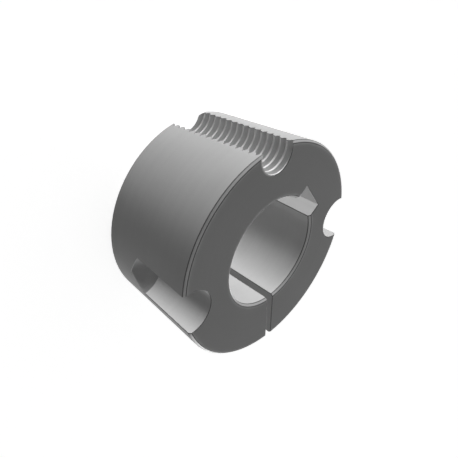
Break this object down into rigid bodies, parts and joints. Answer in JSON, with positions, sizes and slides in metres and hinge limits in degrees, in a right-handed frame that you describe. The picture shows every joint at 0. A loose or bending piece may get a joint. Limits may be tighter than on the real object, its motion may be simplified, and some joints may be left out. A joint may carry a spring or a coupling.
{
  "type": "taper bush",
  "caption": "Split taper bush: a conical ring with a straight keyed bore, a clamping slit, and plain and threaded screw half-holes in its larger end.",
  "frame": {"origin": "centre of the small end, where the bore's axis meets the plane that the bush stands on", "axes": "+Z along the bore's axis towards the large end, where the screws go in; +Y through the middle of the keyway"},
  "size_m": [0.0476, 0.0476, 0.0254],
  "materials": {
    "bush_metal": "fine machined, satin"
  },
  "bodies": {
    "root": {"bush": "bush_metal"}
  },
  "joints": []
}
